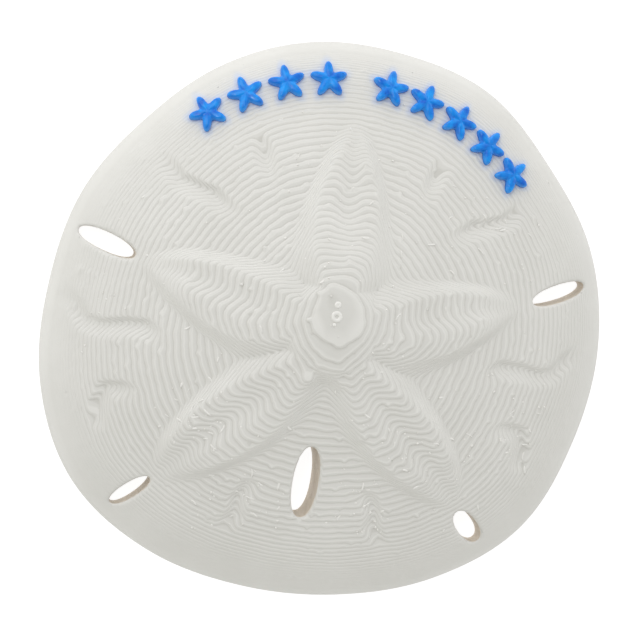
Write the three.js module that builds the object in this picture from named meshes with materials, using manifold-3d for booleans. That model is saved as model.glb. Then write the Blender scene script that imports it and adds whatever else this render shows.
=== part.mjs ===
// A printed sand dollar: a low domed disc with five raised petals, a middle field, bent
// grooves and five through slots, and nine small blue starfish set in an arc along the front rim.
// Millimetres, +Z up. The single front petal points along +Y. The underside is flat, at z = 0.
import * as THREE from 'three';
import { mergeVertices } from 'three/addons/utils/BufferGeometryUtils.js';
import Module from 'manifold-3d';

const wasm = await Module();
wasm.setup();

// Disc outline: radii from the apex, counter-clockwise from +X, one every twentieth degree.
const OUTLINE_RADII = [
  51.9, 50.9, 49.2, 49.6, 48.3, 48, 47.3, 46.6, 47.8, 48.8, 51.4, 53.3, 52.4, 51.1, 51.3, 53, 54.5, 52.8,
];
const DISC_SECTORS = 96;
const RING_SHARES = [
  0.04, 0.08, 0.12, 0.16, 0.2, 0.25, 0.3, 0.35, 0.4, 0.45, 0.5, 0.55, 0.6, 0.65, 0.7,
  0.745, 0.79, 0.83, 0.865, 0.9, 0.93, 0.955, 0.975, 0.99, 1,
];

// Dome: a shallow cone with a flat top, standing on a rim that rounds down to the underside.
const CONE_HEIGHT = 7.5;
const RIM_HEIGHT = 5;
const RIM_POWER = 8;
const BLUNT_SHARE = 0.08;
const BLUNT_POWER = 8;

// Near the apex the cone is drawn out from front to rear, and pinched narrower behind the apex.
const APEX_FORWARD = 0.5;
const APEX_STRETCH = 0.28;
const APEX_PINCH = 0.22;
const APEX_PINCH_REACH = 6;
const APEX_FADE = [5, 17];

// Petals: angle from +Y towards +X, length and half width, where along it the petal is widest,
// how far it bows to the rear, and the height and place across of its trough and its crest, each
// place a share of the half width, positive to the rear.
const FRONT_TROUGH = { height: -0.26, at: 0, reach: 0.55 };
const SIDE_TROUGH = { height: -0.12, at: -0.3, reach: 0.55 };
const SIDE_CREST = { height: 0.24, at: 0.35, reach: 0.6 };
const REAR_TROUGH = { height: -0.36, at: -0.1, reach: 0.55 };
const PETALS = [
  { angle: 0, length: 35.5, halfWidth: 7, widest: 0.38, bow: 0, swells: [FRONT_TROUGH] },
  { angle: 81, length: 35.5, halfWidth: 6.9, widest: 0.42, bow: 2.6, swells: [SIDE_TROUGH, SIDE_CREST] },
  { angle: -81, length: 35.5, halfWidth: 6.9, widest: 0.42, bow: 2.6, swells: [SIDE_TROUGH, SIDE_CREST] },
  { angle: 139.2, length: 43, halfWidth: 6.8, widest: 0.54, bow: 2.2, swells: [REAR_TROUGH] },
  { angle: -139.2, length: 43, halfWidth: 6.8, widest: 0.54, bow: 2.2, swells: [REAR_TROUGH] },
];
const PETAL_RISE = 1;
const PETAL_FLANKS = { inner: 6, outer: 2.5, from: 0.15, to: 0.65 };
const PETAL_TIP_POWER = 0.66;
const PETAL_TIP_FADE = [0.72, 1];
const SWELL_FADE = [0.1, 0.55];
const LEAST_SHAPE = 0.2;

// Middle: the round field where the petals meet, a little to the rear of the apex.
const MIDDLE_RADIUS = 10.5;
const MIDDLE_FLANK = 3.6;
const MIDDLE_REARWARD = 2;

// Grooves: each is a bent channel on the right half, and its mirror image lies on the left half.
const GROOVES = [
  [[19.3, 15.8], [23.3, 18.8], [26.2, 19.6], [29, 20.6], [32, 23.8]],
  [[13.7, 22], [15.3, 27.3], [16.6, 30]],
  [[28.7, -7.2], [32, -5.1], [35, -5.2], [39.3, -6], [42, -5.4], [43.8, -3], [46.2, -0.4]],
  [[31.6, -17], [34.5, -16.2], [37, -16.5], [37.9, -19], [37.9, -22], [37.8, -24.4]],
  [[8.5, -30.4], [11, -30.9], [12.2, -33.2], [12.4, -36], [15.1, -39.6]],
];
const GROOVE_DEPTH = 0.5;
const GROOVE_FRONT_REACH = 1.3;
const GROOVE_REAR_REACH = 3;
const GROOVE_RUN_OUT = [-1, 4.5];

// Slots: lens-shaped holes straight through the disc, with the turn of each from +X in degrees.
const SLOTS = [
  { x: -39.9, y: 8, length: 10.4, width: 3.2, turn: -18.5 },
  { x: 41.3, y: 8.8, length: 10.8, width: 3.2, turn: 22.2 },
  { x: -0.8, y: -29.4, length: 12.9, width: 4.6, turn: 88.9 },
  { x: -30.9, y: -34.3, length: 8.1, width: 2.7, turn: 41 },
  { x: 30.3, y: -35, length: 7.3, width: 3.7, turn: -43 },
];
const SLOT_POWER = 2.2;
const SLOT_STEPS = 24;
const SLOT_CUT_HEIGHT = 20;

// Starfish: nine on an arc around the apex, four to the left of the front petal and five to the right.
const STAR_ARC_RADIUS = 41;
const STAR_BEARINGS = [128.5, 118.2, 107.9, 97.6, 82.2, 72.7, 63.2, 53.7, 44.2];
const STAR_TIP = 3.4;
const STAR_WAIST = 1.5;
const STAR_ARMS = 5;
const STAR_ARM_POWER = 1.3;
const STAR_STEPS = 30;
const STAR_DEPTH = 3;
const STAR_STANDS = 1.2;
const STAR_BEVEL = 0.4;
const STAR_CLEARANCE = 0.3;

const discPlastic = { color: 0xd9d9d3, roughness: 0.45, metalness: 0 };
const starPlastic = { color: 0x1a86f0, roughness: 0.25, metalness: 0 };

function smoothStep(from, to, value) {
  return THREE.MathUtils.smoothstep(value, from, to);
}

// Radius of the disc's edge in a direction, by a closed spline through the outline's radii.
function edgeRadius(direction) {
  const turn = THREE.MathUtils.euclideanModulo(direction / (2 * Math.PI), 1) * OUTLINE_RADII.length;
  const index = Math.floor(turn);
  const share = turn - index;
  const at = (step) => OUTLINE_RADII[(index + step + OUTLINE_RADII.length) % OUTLINE_RADII.length];
  const cubic = 2 * at(-1) - 5 * at(0) + 4 * at(1) - at(2);
  const fourth = 3 * (at(0) - at(1)) + at(2) - at(-1);
  return at(0) + 0.5 * share * (at(1) - at(-1) + share * (cubic + share * fourth));
}

function domeHeight(share) {
  const blunt = (share ** BLUNT_POWER + BLUNT_SHARE ** BLUNT_POWER) ** (1 / BLUNT_POWER);
  return CONE_HEIGHT * (1 - blunt) + RIM_HEIGHT * Math.sqrt(1 - share ** RIM_POWER);
}

// How far out a point lies on the dome, as a share of the way to the edge.
function domeShare(x, y) {
  const near = 1 - smoothStep(...APEX_FADE, Math.hypot(x, y));
  const drawn = (y - APEX_FORWARD * near) / (1 + APEX_STRETCH * near);
  const pinched = x * (1 + APEX_PINCH * near * smoothStep(0, APEX_PINCH_REACH, -y));
  return Math.min(Math.hypot(pinched, drawn) / edgeRadius(Math.atan2(y, x)), 1);
}

// Sideways bow of a petal's middle line, greatest at a third of its length.
function petalBow(petal, along) {
  const greatest = (1 / 3) * (1 - 1 / 3) ** 2;
  return (petal.bow * along * (1 - along) ** 2) / greatest;
}

// A smooth hump of height 1 at a place, gone at a reach to either side of it.
function swell(across, place, reach) {
  return (1 + Math.cos(Math.PI * THREE.MathUtils.clamp((across - place) / reach, -1, 1))) / 2;
}

// How far a petal lifts the dome at a point: a pad with soft flanks, a trough and a crest, which
// fades out towards its tip.
function petalRise(x, y, petal) {
  const angle = THREE.MathUtils.degToRad(petal.angle);
  const side = petal.angle < 0 ? -1 : 1;
  const along = (x * Math.sin(angle) + y * Math.cos(angle)) / petal.length;
  if (along <= 0 || along >= 1) {
    return 0;
  }
  const across = (x * Math.cos(angle) - y * Math.sin(angle)) * side - petalBow(petal, along);
  const power = Math.log(0.5) / Math.log(petal.widest);
  const shape = Math.sin(Math.PI * along ** power) ** PETAL_TIP_POWER;
  const outward = smoothStep(PETAL_FLANKS.from, PETAL_FLANKS.to, along);
  const flank = THREE.MathUtils.lerp(PETAL_FLANKS.inner, PETAL_FLANKS.outer, outward);
  const pad = smoothStep(0, flank, (petal.halfWidth + flank / 2) * shape - Math.abs(across));
  const tip = 1 - smoothStep(...PETAL_TIP_FADE, along);
  const place = across / (petal.halfWidth * Math.max(shape, LEAST_SHAPE));
  const heights = petal.swells.map(({ height, at, reach }) => height * swell(place, at, reach));
  const relief = heights.reduce((sum, height) => sum + height, 0) * smoothStep(...SWELL_FADE, along);
  return pad * tip * (PETAL_RISE + relief);
}

function middleRise(x, y) {
  return PETAL_RISE * smoothStep(0, MIDDLE_FLANK, MIDDLE_RADIUS - Math.hypot(x, y + MIDDLE_REARWARD));
}

// Depth of one groove at a point: its front wall is steep, its rear wall gentle, its ends soft.
function pathDepth(point, path) {
  const nearest = new THREE.Vector3();
  const corners = path.map((corner) => new THREE.Vector3(...corner, 0));
  const lengths = corners.slice(1).map((end, index) => end.distanceTo(corners[index]));
  const whole = lengths.reduce((sum, length) => sum + length, 0);
  let behind = 0;
  let depth = 0;
  lengths.forEach((length, index) => {
    const piece = new THREE.Line3(corners[index], corners[index + 1]);
    piece.closestPointToPoint(point, true, nearest);
    const run = behind + nearest.distanceTo(piece.start);
    const far = Math.max(nearest.distanceTo(point), Number.EPSILON);
    const rearward = (1 - (point.y - nearest.y) / far) / 2;
    const reach = THREE.MathUtils.lerp(GROOVE_FRONT_REACH, GROOVE_REAR_REACH, rearward);
    const ends = smoothStep(...GROOVE_RUN_OUT, Math.min(run, whole - run));
    depth = Math.max(depth, GROOVE_DEPTH * ends * (1 - smoothStep(0, reach, far)));
    behind += length;
  });
  return depth;
}

function grooveDepth(x, y) {
  const point = new THREE.Vector3(Math.abs(x), y, 0);
  return Math.max(...GROOVES.map((path) => pathDepth(point, path)));
}

// Height of the disc's upper face above the flat underside, at a point measured from the apex.
function surfaceHeight(x, y) {
  const rise = Math.max(middleRise(x, y), ...PETALS.map((petal) => petalRise(x, y, petal)));
  return Math.max(domeHeight(domeShare(x, y)) + rise - grooveDepth(x, y), 0);
}

function toSolid(geometry) {
  const bare = geometry.clone();
  bare.deleteAttribute('normal');
  bare.deleteAttribute('uv');
  const merged = mergeVertices(bare);
  return new wasm.Manifold(new wasm.Mesh({
    numProp: 3,
    vertProperties: new Float32Array(merged.attributes.position.array),
    triVerts: new Uint32Array(merged.index.array),
  }));
}

function toGeometry(solid) {
  const mesh = solid.getMesh();
  const geometry = new THREE.BufferGeometry();
  geometry.setAttribute('position', new THREE.BufferAttribute(mesh.vertProperties, 3));
  geometry.setIndex(new THREE.BufferAttribute(mesh.triVerts, 1));
  geometry.computeVertexNormals();
  return geometry;
}

// Rings of points from the apex to the edge, closed by a flat fan underneath. A lift raises the
// upper face, and the edge under it, by that much, for cutting other pieces clear of the disc.
function domeGeometry(lift) {
  const positions = [0, 0, surfaceHeight(0, 0) + lift];
  for (const share of RING_SHARES) {
    for (let sector = 0; sector < DISC_SECTORS; sector += 1) {
      const direction = (2 * Math.PI * sector) / DISC_SECTORS;
      const x = share * edgeRadius(direction) * Math.cos(direction);
      const y = share * edgeRadius(direction) * Math.sin(direction);
      positions.push(x, y, share < 1 ? surfaceHeight(x, y) + lift : 0);
    }
  }
  positions.push(0, 0, 0);
  const geometry = new THREE.BufferGeometry();
  geometry.setAttribute('position', new THREE.Float32BufferAttribute(positions, 3));
  geometry.setIndex(domeTriangles(positions.length / 3 - 1));
  return geometry;
}

function domeTriangles(undersideCentre) {
  const triangles = [];
  const at = (ring, sector) => 1 + ring * DISC_SECTORS + (sector % DISC_SECTORS);
  for (let sector = 0; sector < DISC_SECTORS; sector += 1) {
    triangles.push(0, at(0, sector), at(0, sector + 1));
    for (let ring = 1; ring < RING_SHARES.length; ring += 1) {
      triangles.push(at(ring - 1, sector), at(ring, sector), at(ring, sector + 1));
      triangles.push(at(ring - 1, sector), at(ring, sector + 1), at(ring - 1, sector + 1));
    }
    const edge = RING_SHARES.length - 1;
    triangles.push(undersideCentre, at(edge, sector + 1), at(edge, sector));
  }
  return triangles;
}

// A lens-like outline, a little squarer than an ellipse.
function slotOutline(slot) {
  const reach = (half, share) => half * Math.sign(share) * Math.abs(share) ** (2 / SLOT_POWER);
  const points = [];
  for (let step = 0; step < SLOT_STEPS; step += 1) {
    const angle = (2 * Math.PI * step) / SLOT_STEPS;
    points.push(new THREE.Vector2(
      reach(slot.length / 2, Math.cos(angle)),
      reach(slot.width / 2, Math.sin(angle)),
    ));
  }
  return new THREE.Shape(points);
}

function slotGeometry(slot) {
  const settings = { depth: SLOT_CUT_HEIGHT, bevelEnabled: false };
  const geometry = new THREE.ExtrudeGeometry(slotOutline(slot), settings);
  geometry.rotateZ(THREE.MathUtils.degToRad(slot.turn));
  geometry.translate(slot.x, slot.y, -SLOT_CUT_HEIGHT / 4);
  return geometry;
}

function discSolid() {
  return SLOTS.reduce((disc, slot) => disc.subtract(toSolid(slotGeometry(slot))), toSolid(domeGeometry(0)));
}

function starOutline() {
  const points = [];
  for (let step = 0; step < STAR_STEPS; step += 1) {
    const angle = (2 * Math.PI * step) / STAR_STEPS;
    const arm = (0.5 + 0.5 * Math.cos(STAR_ARMS * angle)) ** STAR_ARM_POWER;
    const radius = STAR_WAIST + (STAR_TIP - STAR_BEVEL - STAR_WAIST) * arm;
    points.push(new THREE.Vector2(radius * Math.cos(angle), radius * Math.sin(angle)));
  }
  return new THREE.Shape(points);
}

// A star with one arm away from the apex, laid square to the dome's slope at its bearing.
function starGeometry(bearing) {
  const direction = THREE.MathUtils.degToRad(bearing);
  const height = (radius) => domeHeight(radius / edgeRadius(direction));
  const fall = height(STAR_ARC_RADIUS - STAR_TIP) - height(STAR_ARC_RADIUS + STAR_TIP);
  const geometry = new THREE.ExtrudeGeometry(starOutline(), {
    depth: STAR_DEPTH, bevelThickness: STAR_BEVEL, bevelSize: STAR_BEVEL, bevelSegments: 1,
  });
  geometry.translate(0, 0, STAR_STANDS - STAR_DEPTH - STAR_BEVEL);
  geometry.rotateY(Math.atan2(fall, 2 * STAR_TIP));
  geometry.translate(STAR_ARC_RADIUS, 0, height(STAR_ARC_RADIUS));
  return geometry.rotateZ(direction);
}

function addPiece(group, name, solid, look) {
  const mesh = new THREE.Mesh(toGeometry(solid), new THREE.MeshStandardMaterial(look));
  mesh.name = name;
  group.add(mesh);
}

const sandDollar = new THREE.Group();
addPiece(sandDollar, 'disc', discSolid(), discPlastic);
const discCleared = toSolid(domeGeometry(STAR_CLEARANCE));
STAR_BEARINGS.forEach((bearing, index) => {
  const star = toSolid(starGeometry(bearing)).subtract(discCleared);
  addPiece(sandDollar, `starfish_${index + 1}`, star, starPlastic);
});

// The frame's origin is under the middle of the whole outline, not under the apex.
const middle = new THREE.Box3().setFromObject(sandDollar).getCenter(new THREE.Vector3());
sandDollar.position.set(-middle.x, -middle.y, 0);

export default sandDollar;
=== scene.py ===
import math

import bpy
import numpy as np
from mathutils import Matrix, Vector
from mathutils.geometry import delaunay_2d_cdt


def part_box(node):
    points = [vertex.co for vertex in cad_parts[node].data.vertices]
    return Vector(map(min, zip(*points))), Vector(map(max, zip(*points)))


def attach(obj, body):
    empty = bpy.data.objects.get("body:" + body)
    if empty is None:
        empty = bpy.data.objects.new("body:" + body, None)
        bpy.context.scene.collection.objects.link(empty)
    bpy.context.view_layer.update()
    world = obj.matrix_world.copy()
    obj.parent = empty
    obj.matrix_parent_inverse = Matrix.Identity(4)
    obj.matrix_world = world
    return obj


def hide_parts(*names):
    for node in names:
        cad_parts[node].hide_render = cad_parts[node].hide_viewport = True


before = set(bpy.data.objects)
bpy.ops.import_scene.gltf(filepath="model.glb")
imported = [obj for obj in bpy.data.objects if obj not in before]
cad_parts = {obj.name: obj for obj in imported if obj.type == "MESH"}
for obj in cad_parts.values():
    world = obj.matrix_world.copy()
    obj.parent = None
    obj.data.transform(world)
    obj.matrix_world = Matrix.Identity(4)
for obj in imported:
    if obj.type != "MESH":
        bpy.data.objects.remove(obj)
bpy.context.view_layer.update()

# ---------------------------------------------------------------------------------------------
# The disc's form. A sand dollar souvenir, printed face up in one piece: a low cone on a rounded
# rim, with five raised petals, a middle field, bent grooves and five slots cut through.
# Lengths are in millimetres from the apex, and the front petal points along +Y.

MM = 0.001
OUTLINE_RADII = np.array(
    [51.9, 50.9, 49.2, 49.6, 48.3, 48, 47.3, 46.6, 47.8, 48.8, 51.4, 53.3, 52.4, 51.1, 51.3, 53, 54.5, 52.8]
)
CONE_HEIGHT = 7.5
RIM_HEIGHT = 5.0
RIM_POWER = 8
BLUNT_SHARE = 0.08
BLUNT_POWER = 8


def smooth_step(start, end, value):
    share = np.clip((value - start) / (end - start), 0, 1)
    return share * share * (3 - 2 * share)


def edge_radius(direction):
    """Radius of the disc's edge in a direction, by a closed spline through the outline's radii."""
    count = len(OUTLINE_RADII)
    turn = np.mod(np.asarray(direction) / (2 * np.pi), 1) * count
    index = np.floor(turn).astype(int)
    share = turn - index
    before, here, after, beyond = (OUTLINE_RADII[(index + step) % count] for step in (-1, 0, 1, 2))
    cubic = 2 * before - 5 * here + 4 * after - beyond
    fourth = 3 * (here - after) + beyond - before
    return here + 0.5 * share * (after - before + share * (cubic + share * fourth))


def edge_share(x, y):
    return np.hypot(x, y) / edge_radius(np.arctan2(y, x))


def dome_height(share):
    blunt = (share**BLUNT_POWER + BLUNT_SHARE**BLUNT_POWER) ** (1 / BLUNT_POWER)
    rim = RIM_HEIGHT * np.sqrt(np.clip(1 - share**RIM_POWER, 0, 1))
    return CONE_HEIGHT * (1 - blunt) + rim


# Near the apex the cone is drawn out from front to rear, so its flat top is longer than it is wide.
APEX_FORWARD = 0.5
APEX_STRETCH = 0.28
APEX_PINCH = 0.22
APEX_PINCH_REACH = 6
APEX_FROM, APEX_TO = 5, 17


def dome_share(x, y):
    near = 1 - smooth_step(APEX_FROM, APEX_TO, np.hypot(x, y))
    drawn = (y - APEX_FORWARD * near) / (1 + APEX_STRETCH * near)
    pinched = x * (1 + APEX_PINCH * near * smooth_step(0, APEX_PINCH_REACH, -y))
    return np.minimum(np.hypot(pinched, drawn) / edge_radius(np.arctan2(y, x)), 1)


# Petals: angle from +Y towards +X, length, half width, where it is widest, how far it bows to the
# rear, then the depth of its trough and the height of its crest, each with its place across.
PETALS = [
    (0, 35.5, 7.0, 0.38, 0.0, (0.26, 0.0), (0.0, 0.5)),
    (81, 35.5, 6.9, 0.42, 2.6, (0.12, -0.3), (0.24, 0.35)),
    (-81, 35.5, 6.9, 0.42, 2.6, (0.12, -0.3), (0.24, 0.35)),
    (139.2, 43.0, 6.8, 0.54, 2.2, (0.36, -0.1), (0.0, 0.5)),
    (-139.2, 43.0, 6.8, 0.54, 2.2, (0.36, -0.1), (0.0, 0.5)),
]
PETAL_RISE = 1.0
FLANK_INNER, FLANK_OUTER = 6.0, 2.5
FLANK_FROM, FLANK_TO = 0.15, 0.65
PETAL_TIP_FROM = 0.72
PETAL_TIP_POWER = 0.66
RELIEF_FROM, RELIEF_TO = 0.1, 0.55
CREST_REACH, TROUGH_REACH = 0.6, 0.55
SLIMMEST = 0.2
BOW_SCALE = 27 / 4  # brings the bow's curve to 1 at its furthest
TINY = 0.001
MIDDLE_RADIUS = 10.5
MIDDLE_FLANK = 3.6
MIDDLE_REARWARD = 2.0


def swell(across, place, reach):
    """A smooth hump of height 1 at a place, gone at a reach to either side of it."""
    return (1 + np.cos(np.pi * np.clip((across - place) / reach, -1, 1))) / 2


def petal_rise(x, y, petal):
    degrees, length, half_width, widest, bow, trough, crest = petal
    angle = math.radians(degrees)
    side = -1 if degrees < 0 else 1
    along = (x * math.sin(angle) + y * math.cos(angle)) / length
    inside = np.clip(along, TINY, 1 - TINY)
    bowed = bow * BOW_SCALE * inside * (1 - inside) ** 2
    across = (x * math.cos(angle) - y * math.sin(angle)) * side - bowed
    shape = np.sin(np.pi * inside ** (math.log(0.5) / math.log(widest))) ** PETAL_TIP_POWER
    flank = FLANK_INNER + (FLANK_OUTER - FLANK_INNER) * smooth_step(FLANK_FROM, FLANK_TO, along)
    pad = smooth_step(0, flank, (half_width + flank / 2) * shape - np.abs(across))
    tip = 1 - smooth_step(PETAL_TIP_FROM, 1.0, along)
    fade = smooth_step(RELIEF_FROM, RELIEF_TO, along)
    share = across / (half_width * np.maximum(shape, SLIMMEST))
    raised, sunk = swell(share, crest[1], CREST_REACH), swell(share, trough[1], TROUGH_REACH)
    relief = crest[0] * raised - trough[0] * sunk
    return np.where((along > 0) & (along < 1), pad * tip * (PETAL_RISE + fade * relief), 0)


def middle_rise(x, y):
    return PETAL_RISE * smooth_step(0, MIDDLE_FLANK, MIDDLE_RADIUS - np.hypot(x, y + MIDDLE_REARWARD))


# Two low round knobs stand at the rear of the middle field: where each is, its reach and height.
KNOBS = [((-3.2, -11.0), 2.0, 0.3), ((1.8, -11.0), 2.0, 0.3)]


def knob_rise(x, y):
    return sum(height * swell(np.hypot(x - at[0], y - at[1]), 0, reach) for at, reach, height in KNOBS)


# Grooves: each is a bent channel on the right half, and its mirror image lies on the left half.
# Each has a steep front wall and a gentle rear wall, and runs out softly at both ends.
GROOVES = [
    [(19.3, 15.8), (23.3, 18.8), (26.2, 19.6), (29, 20.6), (32, 23.8)],
    [(13.7, 22), (15.3, 27.3), (16.6, 30)],
    [(28.7, -7.2), (32, -5.1), (35, -5.2), (39.3, -6), (42, -5.4), (43.8, -3), (46.2, -0.4)],
    [(31.6, -17), (34.5, -16.2), (37, -16.5), (37.9, -19), (37.9, -22), (37.8, -24.4)],
    [(8.5, -30.4), (11, -30.9), (12.2, -33.2), (12.4, -36), (15.1, -39.6)],
]
GROOVE_DEPTH = 0.5
GROOVE_FRONT, GROOVE_REAR = 1.3, 3.0
GROOVE_RUN_FROM, GROOVE_RUN_OUT = -1, 4.5
NEAREST = 0.01


def off_piece(x, y, start, end):
    """How far a point lies from the nearest point of a straight piece, and that point's share."""
    run_x, run_y = end[0] - start[0], end[1] - start[1]
    share = ((x - start[0]) * run_x + (y - start[1]) * run_y) / (run_x**2 + run_y**2)
    share = np.clip(share, 0, 1)
    return x - start[0] - share * run_x, y - start[1] - share * run_y, share


def groove_depth(x, y):
    depth = np.zeros(np.shape(x))
    for path in GROOVES:
        lengths = [math.dist(start, end) for start, end in zip(path, path[1:])]
        behind = 0
        for start, end, length in zip(path, path[1:], lengths):
            off_x, off_y, share = off_piece(np.abs(x), y, start, end)
            far = np.hypot(off_x, off_y)
            rearward = (1 - off_y / np.maximum(far, NEAREST)) / 2
            reach = GROOVE_FRONT + (GROOVE_REAR - GROOVE_FRONT) * rearward
            run = behind + share * length
            to_end = np.minimum(run, sum(lengths) - run)
            ends = smooth_step(GROOVE_RUN_FROM, GROOVE_RUN_OUT, to_end)
            depth = np.maximum(depth, GROOVE_DEPTH * ends * (1 - smooth_step(0, reach, far)))
            behind += length
    return depth


# Slots: centre, length, width and turn from +X in degrees. Each is a long rounded lens, and its
# upper lip is rounded over.
SLOTS = [
    (-39.9, 8.0, 10.4, 3.2, -18.5),
    (41.3, 8.8, 10.8, 3.2, 22.2),
    (-0.8, -29.4, 12.9, 4.6, 88.9),
    (-30.9, -34.3, 8.1, 2.7, 41.0),
    (30.3, -35.0, 7.3, 3.7, -43.0),
]
SLOT_POWER = 2.2
SLOT_LIP = 0.5
SLOT_POINTS = 64
SLOT_CORE = 0.05


def slot_outline(slot):
    """A superellipse around a slot's wall."""
    middle_x, middle_y, length, width, degrees = slot
    turn = np.arange(SLOT_POINTS) * 2 * np.pi / SLOT_POINTS
    cosine, sine = np.cos(turn), np.sin(turn)
    along = length / 2 * np.sign(cosine) * np.abs(cosine) ** (2 / SLOT_POWER)
    across = width / 2 * np.sign(sine) * np.abs(sine) ** (2 / SLOT_POWER)
    angle = math.radians(degrees)
    x = middle_x + along * math.cos(angle) - across * math.sin(angle)
    y = middle_y + along * math.sin(angle) + across * math.cos(angle)
    return np.column_stack([x, y])


def slot_distance(x, y):
    """Roughly how far outside the nearest slot's wall a point lies, negative inside a slot."""
    nearest = np.full(np.shape(x), np.inf)
    for middle_x, middle_y, length, width, degrees in SLOTS:
        angle = math.radians(degrees)
        along = (x - middle_x) * math.cos(angle) + (y - middle_y) * math.sin(angle)
        across = (y - middle_y) * math.cos(angle) - (x - middle_x) * math.sin(angle)
        reach_a, reach_b = np.abs(along) / (length / 2), np.abs(across) / (width / 2)
        size = (reach_a**SLOT_POWER + reach_b**SLOT_POWER) ** (1 / SLOT_POWER)
        far = np.hypot(along, across)
        nearest = np.minimum(nearest, far * (1 - 1 / np.maximum(size, SLOT_CORE)))
    return nearest


def lip_drop(x, y):
    share = np.clip(1 - slot_distance(x, y) / SLOT_LIP, 0, 1)
    return SLOT_LIP * (1 - np.sqrt(1 - share**2))


def surface_height(x, y):
    """Height of the smooth design over the underside, before it is cut into layers."""
    rise = np.maximum.reduce([middle_rise(x, y)] + [petal_rise(x, y, petal) for petal in PETALS])
    drop = groove_depth(x, y) + lip_drop(x, y)
    return dome_height(dome_share(x, y)) + rise + knob_rise(x, y) - drop


# ---------------------------------------------------------------------------------------------
# The disc's printed face. The slicer lays the design down in 0.2 mm layers of filament, so the
# face is a stack of level steps, each with a leaning foot and a rounded nose. The lines where
# the steps run are followed over a fine grid of heights, and the face is meshed between them.

LAYER = 0.2
NOSE_HEIGHT = 0.07
FOOT_OUT, FOOT_OUT_MOST = 0.18, 0.3
NOSE_IN, NOSE_IN_MOST = 0.36, 0.5
GRID_STEP = 0.25
GRID_HALF = 56
LINE_STEP = 0.45
SHORTEST_LINE = 1.2
JOIN_SHARE = 0.962
SOFT_FROM, SOFT_TO, SOFTEST = 0.86, 0.96, 0.7
JOIN_GAP, SLOT_GAP = 0.003, 0.06
WELD = 1e-5

axis = np.arange(-GRID_HALF, GRID_HALF + GRID_STEP / 2, GRID_STEP)
grid_x, grid_y = np.meshgrid(axis, axis)


def ripple(size, seed):
    """A soft random field over the grid, from -1 to 1, with features of a size in mm."""
    random = np.random.default_rng(seed)
    cells = int(2 * GRID_HALF / size) + 3
    lattice = random.uniform(-1, 1, (cells, cells))
    place = (axis + GRID_HALF) / size
    index = np.floor(place).astype(int)
    share = place - index
    share = share * share * (3 - 2 * share)
    rows = lattice[index] * (1 - share)[:, None] + lattice[index + 1] * share[:, None]
    return rows[:, index] * (1 - share) + rows[:, index + 1] * share


# Seams: how many there are, how far out they go, and the range of their widths and heights.
SEAM_NUMBER, SEAM_SEED = 600, 5
SEAM_SPREAD = 48
SEAM_WIDTH, SEAM_HEIGHT = (0.25, 0.5), (0.03, 0.12)
SEAM_CELLS = 7


def seams(number, seed):
    """Small bumps left where the nozzle starts and ends a line, which kink the steps outwards."""
    random = np.random.default_rng(seed)
    field = np.zeros(grid_x.shape)
    for _ in range(number):
        middle_x, middle_y = random.uniform(-SEAM_SPREAD, SEAM_SPREAD, 2)
        size, height = random.uniform(*SEAM_WIDTH), random.uniform(*SEAM_HEIGHT)
        column = int((middle_x + GRID_HALF) / GRID_STEP) + 1
        row = int((middle_y + GRID_HALF) / GRID_STEP) + 1
        near = np.s_[row - SEAM_CELLS : row + SEAM_CELLS, column - SEAM_CELLS : column + SEAM_CELLS]
        far = np.hypot(grid_x[near] - middle_x, grid_y[near] - middle_y)
        field[near] += height * np.exp(-((far / size) ** 2))
    return field


# The lines are laid unevenly. A wide sag and a finer shake go all over, the petals' tops are worn,
# most of all on the rear ones, and the flat top shakes most. Widths and heights are in millimetres.
WORN_FROM, WORN_TO = 8, 16
REAR_WORN, REAR_WORN_FROM, REAR_WORN_TO = 1.8, 16, 30
REAR_LINE = -8
GROOVE_ROUGHNESS, WORN_ROUGHNESS = 5, 0.5
SAG_HEIGHT, SAG_WIDTH = 0.03, 7
SHAKE_HEIGHT, SHAKE_WIDTH = 0.02, 2.4
WORN_HEIGHT, WORN_WIDTH = 0.02, 1.5
TOP_HEIGHT, TOP_WIDTH, TOP_FROM, TOP_TO = 0.06, 3.2, 9, 18
WOBBLE_HEIGHT, WOBBLE_WIDTH = 0.02, 1.2
DRIFT_ROWS, DRIFT_COLUMNS = 37, 53

from_apex = np.hypot(grid_x, grid_y)
raised = np.maximum.reduce([petal_rise(grid_x, grid_y, petal) for petal in PETALS])
rear_worn = REAR_WORN * (grid_y < REAR_LINE) * smooth_step(REAR_WORN_FROM, REAR_WORN_TO, from_apex)
worn = raised * (smooth_step(WORN_FROM, WORN_TO, from_apex) + rear_worn)
rough = 1 + GROOVE_ROUGHNESS * groove_depth(grid_x, grid_y) + WORN_ROUGHNESS * worn
design = surface_height(grid_x, grid_y) + SAG_HEIGHT * ripple(SAG_WIDTH, 1)
design += SHAKE_HEIGHT * rough * ripple(SHAKE_WIDTH, 2)
design += WORN_HEIGHT * worn * ripple(WORN_WIDTH, 6)
design += TOP_HEIGHT * (1 - smooth_step(TOP_FROM, TOP_TO, from_apex)) * ripple(TOP_WIDTH, 4)
design += seams(SEAM_NUMBER, SEAM_SEED)
slope_y, slope_x = np.gradient(design, GRID_STEP)
slope = np.hypot(slope_x, slope_y)
foot_field = design + np.minimum(FOOT_OUT * slope, FOOT_OUT_MOST * LAYER)
nose_field = design - np.minimum(NOSE_IN * slope, NOSE_IN_MOST * LAYER)
wobble = WOBBLE_HEIGHT * rough * ripple(WOBBLE_WIDTH, 3)

rows, columns = grid_x.shape
corner = np.arange(rows * columns).reshape(rows, columns)
lower = np.stack([corner[:-1, :-1], corner[:-1, 1:], corner[1:, 1:]], axis=-1).reshape(-1, 3)
upper = np.stack([corner[:-1, :-1], corner[1:, 1:], corner[1:, :-1]], axis=-1).reshape(-1, 3)
trios = np.concatenate([lower, upper])
places = np.column_stack([grid_x.ravel(), grid_y.ravel()])


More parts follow.
